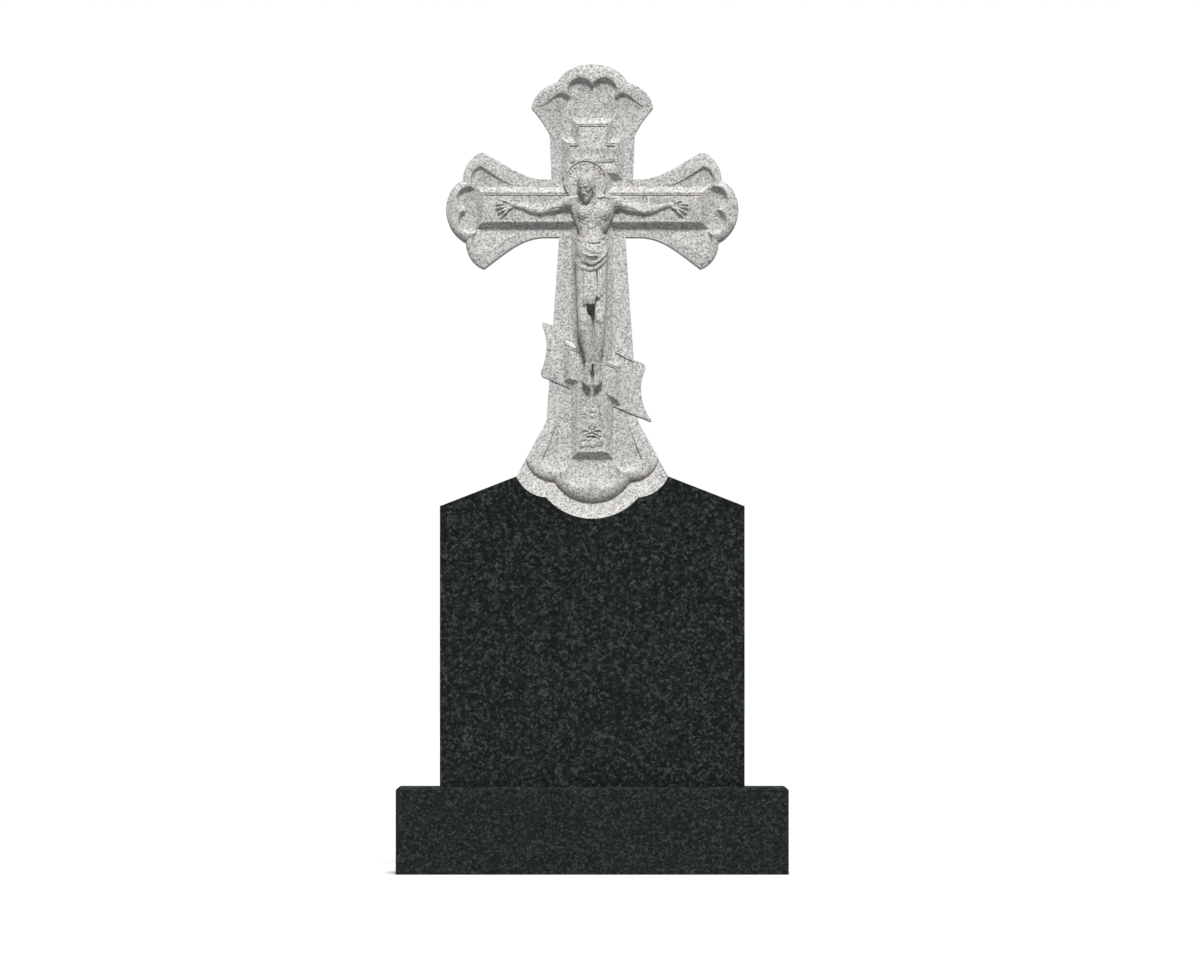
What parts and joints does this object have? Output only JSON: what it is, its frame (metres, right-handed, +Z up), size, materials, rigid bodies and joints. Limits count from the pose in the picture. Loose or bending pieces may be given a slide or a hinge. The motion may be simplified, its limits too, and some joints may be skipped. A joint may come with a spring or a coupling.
{
  "type": "cross headstone",
  "caption": "Stone headstone: a carved cross with a crucified figure in relief, seated in the notch of a plain shouldered stele that stands on a plinth.",
  "frame": {"origin": "on the ground, under the middle of the plinth", "axes": "+Z up; -Y out of the carved front; +X to the viewer's right when facing the front"},
  "size_m": [0.9, 0.25, 1.8606],
  "materials": {
    "plinth_stone": "dark green-grey granite, ground",
    "stele_stone": "dark green-grey granite, polished",
    "cross_stone": "light grey granite, fine-grained, carved and left matt"
  },
  "bodies": {
    "root": {"plinth": "plinth_stone", "stele": "stele_stone", "cross": "cross_stone"}
  },
  "joints": []
}
